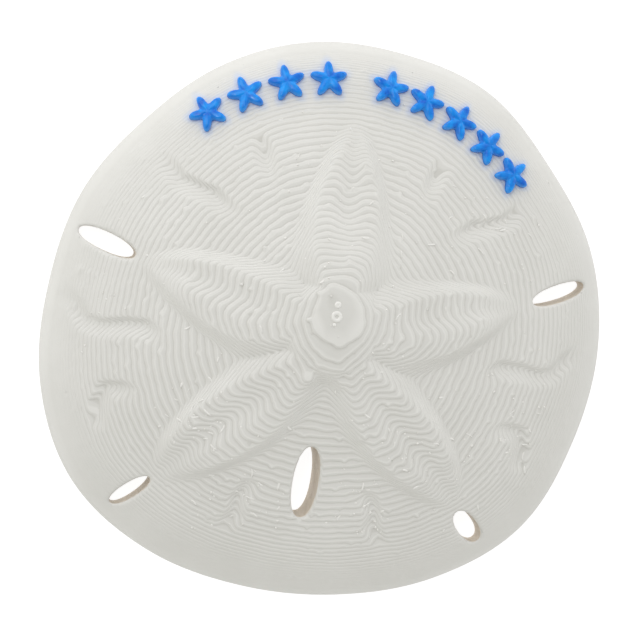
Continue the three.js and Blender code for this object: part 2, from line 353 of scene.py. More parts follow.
def level_lines(field, level):
    """Follows the lines where a field passes a level, as arrays of points, each open or closed."""
    values = field.ravel() - level
    above = values[trios] > 0
    count = above.sum(axis=1)
    crossed = np.flatnonzero((count == 1) | (count == 2))
    if len(crossed) == 0:
        return []
    trio, above, count = trios[crossed], above[crossed], count[crossed]
    odd = np.argmax(above == (count == 1)[:, None], axis=1)
    picked = np.arange(len(trio))
    alone = trio[picked, odd]
    pair = np.column_stack([trio[picked, (odd + 1) % 3], trio[picked, (odd + 2) % 3]])
    first = np.minimum(alone[:, None], pair)
    second = np.maximum(alone[:, None], pair)
    keys, ids = np.unique(first * (rows * columns) + second, return_inverse=True)
    first, second = keys // (rows * columns), keys % (rows * columns)
    share = (values[first] / (values[first] - values[second]))[:, None]
    points = places[first] * (1 - share) + places[second] * share
    return joined(points, ids.reshape(-1, 2).tolist())


def joined(points, segments):
    """Strings short segments together into lines, each with a mark of whether it closes."""
    onward = [[] for _ in points]
    for start, end in segments:
        onward[start].append(end)
        onward[end].append(start)
    starts = [n for n, ways in enumerate(onward) if len(ways) == 1] + list(range(len(onward)))
    seen = [False] * len(onward)
    lines = []
    for start in starts:
        if seen[start]:
            continue
        line = [start]
        seen[start] = True
        while True:
            ways = [n for n in onward[line[-1]] if not seen[n]]
            if not ways:
                break
            line.append(ways[0])
            seen[ways[0]] = True
        closed = len(line) > 2 and start in onward[line[-1]]
        lines.append((points[line], closed))
    return lines


def spaced(line, closed, step):
    """The same line with its points at even steps."""
    loop = np.vstack([line, line[:1]]) if closed else line
    run = np.concatenate([[0], np.cumsum(np.hypot(*np.diff(loop, axis=0).T))])
    fewest = 7 if closed else 1
    count = max(round(run[-1] / step), fewest)
    stops = np.linspace(0, run[-1], count + 1)
    points = np.column_stack([np.interp(stops, run, loop[:, way]) for way in (0, 1)])
    return points[:-1] if closed else points


def grid_value(field, x, y):
    """The value of a grid field between its grid points."""
    column = np.clip((np.asarray(x) + GRID_HALF) / GRID_STEP, 0, columns - 1.001)
    row = np.clip((np.asarray(y) + GRID_HALF) / GRID_STEP, 0, rows - 1.001)
    left, low = column.astype(int), row.astype(int)
    right_share, up_share = column - left, row - low
    near = field[low, left] * (1 - right_share) + field[low, left + 1] * right_share
    far = field[low + 1, left] * (1 - right_share) + field[low + 1, left + 1] * right_share
    return near * (1 - up_share) + far * up_share


def softness(x, y):
    """Towards the rim the steps are finer than the nozzle's line, and melt into a smooth slope."""
    return SOFTEST * smooth_step(SOFT_FROM, SOFT_TO, edge_share(x, y))


def softened(x, y, stepped):
    soft = softness(x, y)
    return stepped * (1 - soft) + (grid_value(design, x, y) - LAYER / 2) * soft


class Sheet:
    """Points, heights and edges gathered for one flat triangulation, and where on a step each
    point lies: 0 at its foot, 1 at its nose."""

    def __init__(self):
        self.points, self.heights, self.edges, self.on_step = [], [], [], []

    def add(self, points, heights, edges, on_step=0.5):
        base = len(self.heights)
        self.points.extend(map(Vector, points.tolist()))
        self.heights.extend(heights.tolist())
        self.edges.extend((base + start, base + end) for start, end in edges)
        self.on_step.extend([on_step] * len(heights))
        return base

    def mesh(self, reach, slot_bases):
        """Points, faces within a share of the edge and outside the slots, and the gathered points
        that each new one stands for. A face with all its corners on one slot's ring fills the slot."""
        points, _, faces, origins, _, _ = delaunay_2d_cdt(self.points, self.edges, [], 0, WELD)
        points, faces = np.array([tuple(point) for point in points]), np.array(faces)
        slot_of = np.zeros(len(self.heights), int)
        for number, base in enumerate(slot_bases, start=1):
            slot_of[base : base + SLOT_POINTS] = number
        corners = np.array([slot_of[origin[0]] if origin else 0 for origin in origins])[faces]
        fills_slot = (corners[:, 0] > 0) & (corners == corners[:, :1]).all(axis=1)
        within = edge_share(*points[faces].mean(axis=1).T) < reach
        return points, faces[within & ~fills_slot], origins


def ring_edges(count):
    return [(n, (n + 1) % count) for n in range(count)]


RIM_POINTS = 420
directions = np.arange(RIM_POINTS) * 2 * np.pi / RIM_POINTS
rim_radii = edge_radius(directions)
rim_ring = np.column_stack([np.cos(directions), np.sin(directions)]) * rim_radii[:, None]
join_ring = rim_ring * JOIN_SHARE
join_height = float(dome_height(JOIN_SHARE))

face = Sheet()
join_heights = np.full(RIM_POINTS, join_height)
face.add(join_ring, softened(*join_ring.T, join_heights), ring_edges(RIM_POINTS))
slot_rings = [slot_outline(slot) for slot in SLOTS]
slot_bases = []
for ring in slot_rings:
    stepped = np.floor(grid_value(design, *ring.T) / LAYER) * LAYER
    slot_bases.append(face.add(ring, softened(*ring.T, stepped), ring_edges(len(ring))))

FOOT, SHOULDER, LEVEL, NOSE = 0, 0.4, 0.5, 1
TOP_INSET = 0.03


def lay_lines(field, level, height, on_step):
    """Adds the lines where a field passes a level to the face, at one height."""
    for line, closed in level_lines(field, level):
        points = spaced(line, closed, LINE_STEP)
        if len(points) * LINE_STEP < SHORTEST_LINE:
            continue
        x, y = points.T
        kept = (edge_share(x, y) < JOIN_SHARE - JOIN_GAP) & (slot_distance(x, y) > SLOT_GAP)
        place = np.cumsum(kept) - 1
        links = ring_edges(len(points)) if closed else [(n, n + 1) for n in range(len(points) - 1)]
        links = [(place[start], place[end]) for start, end in links if kept[start] and kept[end]]
        x, y = x[kept], y[kept]
        face.add(points[kept], softened(x, y, np.full(len(x), height)), links, on_step)


# Each layer takes its own part of the wobble. One more line just inside the highest nose keeps the
# nose's painted highlight from spreading over the flat top.
top_step = int(design.max() / LAYER)
for step in range(round(join_height / LAYER) + 1, top_step + 1):
    drift = np.roll(wobble, (DRIFT_ROWS * step, DRIFT_COLUMNS * step), axis=(0, 1))
    lay_lines(foot_field + drift, step * LAYER, (step - 1) * LAYER, FOOT)
    lay_lines(design + drift, step * LAYER, step * LAYER - NOSE_HEIGHT, SHOULDER)
    lay_lines(nose_field + drift, step * LAYER, step * LAYER, NOSE)
lay_lines(nose_field + drift, top_step * LAYER + TOP_INSET, top_step * LAYER, LEVEL)

FACE_REACH = JOIN_SHARE - 0.0001
face_points, face_faces, face_origins = face.mesh(FACE_REACH, slot_bases)
face_heights = np.array([face.heights[origin[0]] if origin else np.nan for origin in face_origins])
loose = np.isnan(face_heights)
face_heights[loose] = np.floor(grid_value(design, *face_points[loose].T) / LAYER) * LAYER
new_place = {old: place for place, origin in enumerate(face_origins) for old in origin}

# ---------------------------------------------------------------------------------------------
# The disc's rim, slot walls and underside. The rim is a stack of rounded layer edges, the slots'
# walls stand upright, and the underside is the flat first layer, squashed out a little on the bed.

BEAD = 0.02
FOOT_TUCK = 0.12
BED_EDGE_HEIGHT = 0.08
BORDER_WIDTH = 0.84
RIM_SAMPLES = 400
UNDER_REACH = 0.9995

body_points = [np.column_stack([face_points, face_heights])]
body_faces = [tuple(trio) for trio in face_faces.tolist()]
body_count = len(face_points)


def add_ring(points, height):
    """Adds a ring of points at one height to the disc, and gives their numbers."""
    global body_count
    body_points.append(np.column_stack([points, np.full(len(points), height)]))
    body_count += len(points)
    return list(range(body_count - len(points), body_count))


def bridge(upper_ids, lower_ids):
    size = len(upper_ids)
    for n in range(size):
        m = (n + 1) % size
        body_faces.append((upper_ids[n], lower_ids[n], lower_ids[m], upper_ids[m]))


shares = np.linspace(JOIN_SHARE, 1, RIM_SAMPLES)
levels = dome_height(shares)
rim_steps = []
for step in range(round(join_height / LAYER) - 1, 1, -1):
    rim_steps += [((step - 0.5) * LAYER, BEAD), ((step - 1) * LAYER, -BEAD)]
rim_steps += [(BED_EDGE_HEIGHT, 0.0), (0.0, -FOOT_TUCK)]
ring_ids = [new_place[n] for n in range(RIM_POINTS)]
for height, out in rim_steps:
    share = float(np.interp(-height, -levels, shares))
    ring = rim_ring * (share + out / rim_radii)[:, None]
    next_ids = add_ring(ring, height)
    bridge(ring_ids, next_ids)
    ring_ids = next_ids

under = Sheet()
under.add(ring, np.zeros(RIM_POINTS), ring_edges(RIM_POINTS))
under_ids = list(ring_ids)
wall_tops = []
under_bases = []
for slot_ring, base in zip(slot_rings, slot_bases):
    upper_ids = [new_place[base + n] for n in range(SLOT_POINTS)]
    lower_ids = add_ring(slot_ring, 0)
    bridge(upper_ids[::-1], lower_ids[::-1])
    wall_tops += upper_ids
    under_bases.append(under.add(slot_ring, np.zeros(SLOT_POINTS), ring_edges(SLOT_POINTS)))
    under_ids += lower_ids
border = rim_ring * (1 - BORDER_WIDTH / rim_radii)[:, None]
under.add(border, np.zeros(RIM_POINTS), ring_edges(RIM_POINTS))
under_ids += add_ring(border, 0)
_, under_faces, under_origins = under.mesh(UNDER_REACH, under_bases)
ids = [under_ids[origin[0]] for origin in under_origins]
body_faces += [(ids[a], ids[c], ids[b]) for a, b, c in under_faces.tolist()]

# ---------------------------------------------------------------------------------------------
# Spare filament on the disc. The nozzle left two small rings of bead and a short drop on the flat
# top, and tiny blobs and short whiskers over the face, mostly near the tips of the rear petals.

BEAD_SIDES = 8
BEAD_TAPER = 0.45
RING_FLATNESS, DROP_FLATNESS, BLOB_FLATNESS = 0.45, 0.5, 0.6


def tube(path, radius, height_share, closed=False):
    """A filament bead along a path of points, flattened in height, with pointed ends."""
    path = np.array(path, float)
    count = len(path)
    onward = np.roll(path, -1, axis=0) - np.roll(path, 1, axis=0)
    if not closed:
        onward[0], onward[-1] = path[1] - path[0], path[-1] - path[-2]
    side = np.column_stack([-onward[:, 1], onward[:, 0], np.zeros(count)])
    side /= np.linalg.norm(side, axis=1)[:, None]
    turn = np.arange(BEAD_SIDES) * 2 * np.pi / BEAD_SIDES
    sizes = np.full(count, radius)
    if not closed:
        sizes[[0, -1]] = radius * BEAD_TAPER
    rings = path[:, None] + sizes[:, None, None] * np.cos(turn)[None, :, None] * side[:, None]
    rings[:, :, 2] += sizes[:, None] * height_share * np.sin(turn)
    points = rings.reshape(-1, 3)
    faces = []
    for n in range(count if closed else count - 1):
        here, there = n * BEAD_SIDES, (n + 1) % count * BEAD_SIDES
        for a, b in ring_edges(BEAD_SIDES):
            faces.append((here + a, here + b, there + b, there + a))
    if not closed:
        faces.append(tuple(range(BEAD_SIDES))[::-1])
        faces.append(tuple((count - 1) * BEAD_SIDES + n for n in range(BEAD_SIDES)))
    return points, faces


def add_bead(path, radius, height_share, closed=False):
    global body_count
    points, faces = tube(path, radius, height_share, closed)
    body_faces.extend(tuple(body_count + n for n in trio) for trio in faces)
    body_points.append(points)
    body_count += len(points)


def face_height(x, y):
    """Height of the printed step at a place on the face."""
    return float(np.floor(grid_value(design, x, y) / LAYER) * LAYER)


def circle_path(middle_x, middle_y, radius, height, count):
    turn = np.arange(count) * 2 * np.pi / count
    ring = np.column_stack([middle_x + radius * np.cos(turn), middle_y + radius * np.sin(turn)])
    return np.column_stack([ring, np.full(count, height)])


top = face_height(0, 0)
face_count = body_count
add_bead(circle_path(-0.15, 2.4, 0.3, top, 16), 0.32, RING_FLATNESS, closed=True)
add_bead(circle_path(-0.1, 0.35, 0.66, top, 20), 0.36, RING_FLATNESS, closed=True)
drop_path = [(-0.5, -0.75, top), (-0.4, -1.0, top), (-0.25, -1.2, top), (-0.1, -1.3, top)]
add_bead(drop_path, 0.34, DROP_FLATNESS)

# Blobs and whiskers: the range of their radii and half lengths, the share that are long whiskers,
# how much longer and how bent those are, how far they stand proud, and their room at a slot.
BLOB_RADIUS, BLOB_HALF_LENGTH = (0.09, 0.19), (0.08, 0.25)
WHISKER_SHARE, WHISKER_STRETCH, WHISKER_BEND = 0.3, 3.5, 0.4
WHISKER_POINTS = 5
BLOB_LIFT = 0.1
BLOB_TO_SLOT = 1.5


def scatter(number, seed, middle, spread):
    """Blobs and whiskers of filament scattered around a place on the face."""
    random = np.random.default_rng(seed)
    for _ in range(number):
        x, y = random.normal(middle, spread)
        angle = random.uniform(0, np.pi)
        radius = random.uniform(*BLOB_RADIUS)
        length = random.uniform(*BLOB_HALF_LENGTH)
        if random.random() < WHISKER_SHARE:
            length *= WHISKER_STRETCH
        if edge_share(x, y) > SOFT_FROM or slot_distance(x, y) < BLOB_TO_SLOT:
            continue
        height = float(softened(x, y, face_height(x, y))) + BLOB_LIFT * radius
        steps = np.linspace(-length, length, WHISKER_POINTS)
        bend = random.uniform(-WHISKER_BEND, WHISKER_BEND) * steps**2
        path = np.column_stack([
            x + steps * math.cos(angle) - bend * math.sin(angle),
            y + steps * math.sin(angle) + bend * math.cos(angle),
            np.full(WHISKER_POINTS, height),
        ])
        add_bead(path, radius, BLOB_FLATNESS)


# Patches of spare filament: how many, a seed, the middle of the patch and its spread both ways.
SPARE_PATCHES = [
    (190, 11, (0, 0), (27, 27)),
    (34, 12, (-21, -20), (4, 3)),
    (36, 13, (19, -22), (5, 4.5)),
    (30, 14, (11, -33), (3, 3.5)),
    (30, 15, (-13, -34), (4, 3.5)),
    (16, 16, (30, 17), (3.5, 3)),
    (20, 17, (-41, -2), (3, 3.5)),
    (26, 18, (37, -15), (3, 6)),
]
for patch in SPARE_PATCHES:
    scatter(*patch)

# ---------------------------------------------------------------------------------------------
# The disc as one piece: the face, rim, walls, underside and spare filament, all of one print.
# Its steps are rounded, so only their feet, the slots' edges and the bed side's edge are sharp.

STEEP_FROM, STEEP_TO, STEEP_FADE = 0.25, 0.5, 0.5
ON_BED = 1e-6


def mark_points(mesh, name, values):
    """Stores a value for each point of a mesh, which its material reads by name."""
    mesh.attributes.new(name, "FLOAT", "POINT").data.foreach_set("value", values)


all_points = np.vstack(body_points)
disc_low, disc_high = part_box("disc")
apex = (np.array(disc_low[:2]) + np.array(disc_high[:2])) / 2 / MM
apex = apex - (rim_ring.max(axis=0) + rim_ring.min(axis=0)) / 2
placed = all_points + (*apex, 0)
disc_mesh = bpy.data.meshes.new("disc_print")
disc_mesh.from_pydata((placed * MM).tolist(), [], body_faces)
disc_mesh.validate()
disc_mesh.shade_smooth()
disc = bpy.data.objects.new("disc_print", disc_mesh)
bpy.context.scene.collection.objects.link(disc)

on_step = np.full(len(all_points), LEVEL)
on_step[: len(face_origins)] = [face.on_step[origin[0]] if origin else LEVEL for origin in face_origins]
at_foot = on_step == FOOT
at_wall = np.zeros(len(all_points), bool)
at_wall[wall_tops] = True
edge_ends = np.array([edge.vertices[:] for edge in disc_mesh.edges])
sharp = at_foot[edge_ends].all(axis=1) | at_wall[edge_ends].all(axis=1)
sharp |= (np.abs(all_points[edge_ends, 2]) < ON_BED).all(axis=1)
disc_mesh.attributes.new("sharp_edge", "BOOLEAN", "EDGE").data.foreach_set("value", sharp)

inset = (1 - edge_share(*all_points[:, :2].T)) * rim_radii.mean()
mark_points(disc_mesh, "inset", np.clip(inset, 0, BORDER_WIDTH))
# The painted highlight and painted shade on the steps fade where the face is steep and towards the rim.
steep = smooth_step(STEEP_FROM, STEEP_TO, grid_value(slope, *all_points[:, :2].T))
faded = (1 - softness(*all_points[:, :2].T)) * (1 - STEEP_FADE * steep)
mark_points(disc_mesh, "on_step", LEVEL + (on_step - LEVEL) * faded)
mark_points(disc_mesh, "spare", (np.arange(len(all_points)) >= face_count).astype(float))
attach(disc, "root")
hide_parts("disc")


def linear(colour, alpha=1.0):
    """An sRGB hex colour as linear red, green, blue and alpha."""
    parts = [int(colour[place : place + 2], 16) / 255 for place in (1, 3, 5)]
    return [part / 12.92 if part <= 0.04045 else ((part + 0.055) / 1.055) ** 2.4 for part in parts] + [alpha]


def add_node(tree, kind, inputs, output=0, **settings):
    """Adds a shader node with its settings, and its inputs as values or links from other nodes,
    and gives one of its outputs."""
    new = tree.nodes.new("ShaderNode" + kind)
    for name, value in settings.items():
        setattr(new, name, value)
    for key, value in inputs.items():
        if isinstance(value, bpy.types.NodeSocket):
            tree.links.new(value, new.inputs[key])
        else:
            new.inputs[key].default_value = value
    return new.outputs[output]


def new_material(name):
    """A fresh material with its node tree and its shader."""
    material = bpy.data.materials.new(name)
    material.use_nodes = True
    return material, material.node_tree, material.node_tree.nodes["Principled BSDF"]


# White PLA filament, printed warm: satin, with a cloudy tone about a centimetre across, a fine
# grain and a few grey specks. Painted light: each step has a painted highlight at its nose and
# painted shade at its foot, spare filament has a painted highlight, and the slots' walls have
# painted shade in a darker warm beige. Upright walls show the layers as lines. The bed side has
# border lines and a slanting raster of flat beads. Widths and heights are in millimetres.
PLA_IOR = 1.46
CLOUD_WIDTH, MOTTLE_WIDTH, GRAIN_WIDTH = 11.1, 2.38, 0.667
SPECK_SPACING, SPECK_RARITY, SPECK_SHARE = 4.17, 0.82, 0.45
SPECK_CORE, SPECK_EDGE = 0.02, 0.045
NOSE_FROM, NOSE_HIGHLIGHT_SHARE = 0.7, 0.46
FOOT_FROM, FOOT_SHADE_SHARE = 0.35, 0.26
FLAT_BEAD_WIDTH = 0.42
WAVE_HEIGHT, GRAIN_HEIGHT, MOTTLE_HEIGHT = 0.02, 0.018, 0.04
WALL_LEAST, WALL_MOST = 0.15, 0.4
DOWN = -0.7

white, tree, white_shader = new_material("white_pla_printed")
spot = add_node(tree, "TexCoord", {}, output="Object")
cloud_inputs = {"Vector": spot, "Scale": 1 / (CLOUD_WIDTH * MM), "Detail": 3}
cloud = add_node(tree, "TexNoise", cloud_inputs, output="Fac")
grain_inputs = {"Vector": spot, "Scale": 1 / (GRAIN_WIDTH * MM), "Detail": 2}
grain = add_node(tree, "TexNoise", grain_inputs, output="Fac")
mottle_inputs = {"Vector": spot, "Scale": 1 / (MOTTLE_WIDTH * MM), "Detail": 2}
mottle = add_node(tree, "TexNoise", mottle_inputs, output="Fac")

fleck = add_node(tree, "TexVoronoi", {"Vector": spot, "Scale": 1 / (SPECK_SPACING * MM)}, output="Distance")
chance = add_node(tree, "SeparateColor", {0: fleck.node.outputs["Color"]})
rare = add_node(tree, "Math", {0: chance, 1: SPECK_RARITY}, operation="GREATER_THAN")
near = add_node(tree, "MapRange", {0: fleck, 1: SPECK_CORE, 2: SPECK_EDGE, 3: 1, 4: 0})
speck = add_node(tree, "Math", {0: rare, 1: near}, operation="MULTIPLY")
speck_share = add_node(tree, "Math", {0: speck, 1: SPECK_SHARE}, operation="MULTIPLY")
step_place = add_node(tree, "Attribute", {}, output="Fac", attribute_name="on_step")
# Painted highlight at each step's nose and painted shade at its foot.
nose_painted_highlight = add_node(tree, "MapRange", {0: step_place, 1: NOSE_FROM, 2: NOSE, 3: 0, 4: NOSE_HIGHLIGHT_SHARE})
foot_painted_shade = add_node(tree, "MapRange", {0: step_place, 1: FOOT_FROM, 2: FOOT, 3: 0, 4: FOOT_SHADE_SHARE})
# Spare filament is painted paler, a painted highlight.
spare_painted_highlight = add_node(tree, "Attribute", {}, output="Fac", attribute_name="spare")
depth = add_node(tree, "Attribute", {}, output="Fac", attribute_name="inset")

normal = add_node(tree, "NewGeometry", {}, output="True Normal")
facing = add_node(tree, "SeparateXYZ", {0: normal}, output=2)
level_share = add_node(tree, "Math", {0: facing}, operation="ABSOLUTE")
upright = add_node(tree, "MapRange", {0: level_share, 1: WALL_LEAST, 2: WALL_MOST, 3: 1, 4: 0})
downward = add_node(tree, "Math", {0: facing, 1: DOWN}, operation="LESS_THAN")
# Painted shade: the slots' walls, upright faces away from the rim's border, are coloured a darker warm
# beige.
off_rim = add_node(tree, "Math", {0: depth, 1: BORDER_WIDTH - 0.01}, operation="GREATER_THAN")
slot_wall_painted_shade = add_node(tree, "Math", {0: upright, 1: off_rim}, operation="MULTIPLY")

cloudy = {0: cloud, 6: linear("#D6D5D0"), 7: linear("#E2E1DD")}
white_tone = add_node(tree, "Mix", cloudy, output=2, data_type="RGBA")
# Coats over the tone: grey specks, then painted light: a highlight at the noses, shade at the feet, a
# highlight on spare filament and shade on the slots' walls.
coats = [
    (speck_share, "#8F8D84"),
    (nose_painted_highlight, "#F0EFEB"),
    (foot_painted_shade, "#B5B3AA"),
    (spare_painted_highlight, "#EBEAE6"),
    (slot_wall_painted_shade, "#D9CFC0"),
]
for share, colour in coats:
    coated = {0: share, 6: white_tone, 7: linear(colour)}
    white_tone = add_node(tree, "Mix", coated, output=2, data_type="RGBA")

# Layer lines go up the walls, a raster slants over the bed side, and border lines follow its edge.
place_z = add_node(tree, "SeparateXYZ", {0: spot}, output=2)
place_x, place_y = place_z.node.outputs[0], place_z.node.outputs[1]
slanted = add_node(tree, "Math", {0: place_x, 1: place_y}, operation="ADD")
raster_pitch = FLAT_BEAD_WIDTH * MM * math.sqrt(2)
waves = []
for run, pitch in ((place_z, LAYER * MM), (slanted, raster_pitch), (depth, FLAT_BEAD_WIDTH)):
    phase = add_node(tree, "Math", {0: run, 1: 2 * math.pi / pitch}, operation="MULTIPLY")
    waves.append(add_node(tree, "Math", {0: phase}, operation="SINE"))
layer_wave, raster, border_wave = waves
in_border = add_node(tree, "Math", {0: depth, 1: BORDER_WIDTH - 0.04}, operation="LESS_THAN")
bed_wave = add_node(tree, "Mix", {0: in_border, 2: raster, 3: border_wave})
wall_height = add_node(tree, "Math", {0: upright, 1: WAVE_HEIGHT}, operation="MULTIPLY")
bed_height = add_node(tree, "Math", {0: downward, 1: WAVE_HEIGHT}, operation="MULTIPLY")
relief = add_node(tree, "Math", {0: layer_wave, 1: wall_height}, operation="MULTIPLY")
for wave, height in ((bed_wave, bed_height), (grain, GRAIN_HEIGHT), (mottle, MOTTLE_HEIGHT)):
    raised = add_node(tree, "Math", {0: wave, 1: height}, operation="MULTIPLY")
    relief = add_node(tree, "Math", {0: relief, 1: raised}, operation="ADD")
bump = add_node(tree, "Bump", {"Height": relief, "Distance": MM, "Strength": 1.0})
satin = add_node(tree, "MapRange", {0: mottle, 1: 0.3, 2: 0.7, 3: 0.4, 4: 0.55})
tree.links.new(satin, white_shader.inputs["Roughness"])
tree.links.new(bump, white_shader.inputs["Normal"])
white_shader.inputs["IOR"].default_value = PLA_IOR
disc_mesh.materials.append(white)

# ---------------------------------------------------------------------------------------------
# Nine starfish on the front rim, four to the left of the front petal and five to the right. Each
# is a small puffy star of glossy azure PLA, printed onto the white, one arm away from the apex.

STAR_ARC_RADIUS = 41
STAR_BEARINGS = [128.5, 118.2, 107.9, 97.6, 82.2, 72.7, 63.2, 53.7, 44.2]
STAR_TIP = 3.35
STAR_WAIST = 1.6
STAR_ARMS = 5
STAR_STANDS = 1.15
STAR_SHOULDER = 0.7
STAR_SINKS = 0.15
STAR_SIDES = 110
STAR_RINGS = (0.2, 0.4, 0.58, 0.72, 0.83, 0.91, 0.965, 0.99, 1.0)
STAR_WALL = (0.24, 0.1, -STAR_SINKS)
STAR_ARM_POWER = 1.25
STAR_RIDGE, STAR_CROWN = 0.12, 0.12
# How pale each ring is painted from the middle out, then down the sides: partly thin clear plastic,
# partly a painted highlight along the rounded edges.
STAR_THIN_HIGHLIGHT = (0, 0, 0, 0, 0.1, 0.4, 0.8, 1, 1, 0.6, 0.2, 0)
# The reach and share of the painted blue glow on the white around each star.
BLUE_GLOW_REACH, BLUE_GLOW_SHARE = 1.5, 0.3

# Glossy azure PLA: a deep clear blue with paler clouds, tiny dark pits, and a smooth melted skin
# that gives bright soft highlights along the rounded edges. The rounded edges are also painted
# paler, partly for thin clear plastic and partly as a painted highlight.
BLUE_CLOUD_WIDTH, SKIN_WIDTH = 1.43, 0.714
PIT_SPACING, PIT_RARITY, PIT_SHARE = 1.11, 0.8, 0.6
PIT_CORE, PIT_EDGE = 0.08, 0.16
THIN_HIGHLIGHT_SHARE = 0.35
SKIN_HEIGHT, PIT_DEPTH = 0.05, 0.05
CLOUD_FROM, CLOUD_TO = 0.3, 0.7

blue, tree, shader = new_material("azure_pla_printed")
spot = add_node(tree, "TexCoord", {}, output="Object")
cloud_inputs = {"Vector": spot, "Scale": 1 / (BLUE_CLOUD_WIDTH * MM), "Detail": 3}
cloud = add_node(tree, "TexNoise", cloud_inputs, output="Fac")
skin_inputs = {"Vector": spot, "Scale": 1 / (SKIN_WIDTH * MM), "Detail": 2}
skin = add_node(tree, "TexNoise", skin_inputs, output="Fac")
paler = add_node(tree, "MapRange", {0: cloud, 1: CLOUD_FROM, 2: CLOUD_TO, 3: 0, 4: 1})
fleck = add_node(tree, "TexVoronoi", {"Vector": spot, "Scale": 1 / (PIT_SPACING * MM)}, output="Distance")
chance = add_node(tree, "SeparateColor", {0: fleck.node.outputs["Color"]})
rare = add_node(tree, "Math", {0: chance, 1: PIT_RARITY}, operation="GREATER_THAN")
near = add_node(tree, "MapRange", {0: fleck, 1: PIT_CORE, 2: PIT_EDGE, 3: 1, 4: 0})
pit = add_node(tree, "Math", {0: rare, 1: near}, operation="MULTIPLY")
pit_share = add_node(tree, "Math", {0: pit, 1: PIT_SHARE}, operation="MULTIPLY")
# The rounded edges are painted paler: partly thin clear plastic, partly a painted highlight.
thin_and_highlight = add_node(tree, "Attribute", {}, output="Fac", attribute_name="thin_and_highlight")
thin_highlight_share = add_node(tree, "Math", {0: thin_and_highlight, 1: THIN_HIGHLIGHT_SHARE}, operation="MULTIPLY")
tone = linear("#0062CE")
for share, colour in ((paler, "#1099F4"), (pit_share, "#0B4FA8"), (thin_highlight_share, "#5FB0FF")):
    tone = add_node(tree, "Mix", {0: share, 6: tone, 7: linear(colour)}, output=2, data_type="RGBA")
skin_relief = add_node(tree, "Math", {0: skin, 1: SKIN_HEIGHT}, operation="MULTIPLY")
pit_relief = add_node(tree, "Math", {0: pit, 1: PIT_DEPTH}, operation="MULTIPLY")
relief = add_node(tree, "Math", {0: skin_relief, 1: pit_relief}, operation="SUBTRACT")
bump = add_node(tree, "Bump", {"Height": relief, "Distance": MM, "Strength": 0.6})
gloss = add_node(tree, "MapRange", {0: cloud, 1: CLOUD_FROM, 2: CLOUD_TO, 3: 0.06, 4: 0.14})
tree.links.new(tone, shader.inputs["Base Color"])
tree.links.new(gloss, shader.inputs["Roughness"])
tree.links.new(bump, shader.inputs["Normal"])
shader.inputs["IOR"].default_value = PLA_IOR
shader.inputs["Specular IOR Level"].default_value = 0.4


def star_outline(turn):
    """How far a star reaches in a direction, measured from its first arm."""
    arm = (0.5 + 0.5 * np.cos(STAR_ARMS * turn)) ** STAR_ARM_POWER
    return STAR_WAIST + (STAR_TIP - STAR_WAIST) * arm


def star_points():
    """Rings of points from the middle out over the rounded top, then down the sides, in the star's
    own frame: its first arm along X, its top along Z."""
    turn = np.arange(STAR_SIDES) * 2 * np.pi / STAR_SIDES
    outline = star_outline(turn)
    arm = (outline - STAR_WAIST) / (STAR_TIP - STAR_WAIST)
    rings = []
    for share in STAR_RINGS:
        radius = outline * share
        inside = np.clip((outline - radius) / STAR_SHOULDER, 0, 1)
        rounded = STAR_SHOULDER * (1 - np.sqrt(1 - (1 - inside) ** 2))
        ridge = STAR_RIDGE * arm * (1 - share)
        height = STAR_STANDS - STAR_CROWN - rounded + ridge + STAR_CROWN * (1 - share**2)
        rings.append(np.column_stack([radius * np.cos(turn), radius * np.sin(turn), height]))
    foot = np.column_stack([outline * np.cos(turn), outline * np.sin(turn)])
    for height in STAR_WALL:
        rings.append(np.column_stack([foot, np.full(STAR_SIDES, height)]))
    middle = [(0, 0, STAR_STANDS), (0, 0, -STAR_SINKS)]
    return np.vstack([middle] + rings), len(rings)


def star_faces(ring_count):
    faces = []
    for a, b in ring_edges(STAR_SIDES):
        faces.append((0, 2 + a, 2 + b))
        for ring in range(ring_count - 1):
            here, there = 2 + ring * STAR_SIDES, 2 + (ring + 1) * STAR_SIDES
            faces.append((here + a, there + a, there + b, here + b))
        last = 2 + (ring_count - 1) * STAR_SIDES
        faces.append((1, last + b, last + a))
    return faces


local_star, star_rings = star_points()
# Each star point's share of the paler edge colour: partly thin clear plastic, partly a painted highlight.
thin_and_highlight = np.concatenate([[0, 0], np.repeat(STAR_THIN_HIGHLIGHT, STAR_SIDES)])
blue_glow_around = np.zeros(len(all_points))
for number, bearing in enumerate(STAR_BEARINGS, start=1):
    direction = math.radians(bearing)
    edge = edge_radius(direction)
    radii = (STAR_ARC_RADIUS - STAR_TIP, STAR_ARC_RADIUS, STAR_ARC_RADIUS + STAR_TIP)
    inner, here, outer = (dome_height(radius / edge) for radius in radii)
    lean = math.atan2(inner - outer, 2 * STAR_TIP)
    tilt = Matrix.Rotation(direction, 4, "Z") @ Matrix.Translation((STAR_ARC_RADIUS, 0, here))
    tilt = tilt @ Matrix.Rotation(lean, 4, "Y")
    turned = local_star @ np.array(tilt.to_3x3()).T + np.array(tilt.translation) + (*apex, 0)
    star_mesh = bpy.data.meshes.new(f"star_{number}")
    star_mesh.from_pydata((turned * MM).tolist(), [], star_faces(star_rings))
    star_mesh.validate()
    star_mesh.shade_smooth()
    mark_points(star_mesh, "thin_and_highlight", thin_and_highlight)
    star_mesh.materials.append(blue)
    star = bpy.data.objects.new(f"star_{number}", star_mesh)
    bpy.context.scene.collection.objects.link(star)
    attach(star, "root")
    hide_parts(f"starfish_{number}")
    # How near each point of the white lies to a star, for the painted blue glow.
    off_x = all_points[:, 0] - STAR_ARC_RADIUS * math.cos(direction)
    off_y = all_points[:, 1] - STAR_ARC_RADIUS * math.sin(direction)
    gap = np.hypot(off_x, off_y) - star_outline(np.arctan2(off_y, off_x) - direction)
    blue_glow_around = np.maximum(blue_glow_around, 1 - smooth_step(0, BLUE_GLOW_REACH, gap))

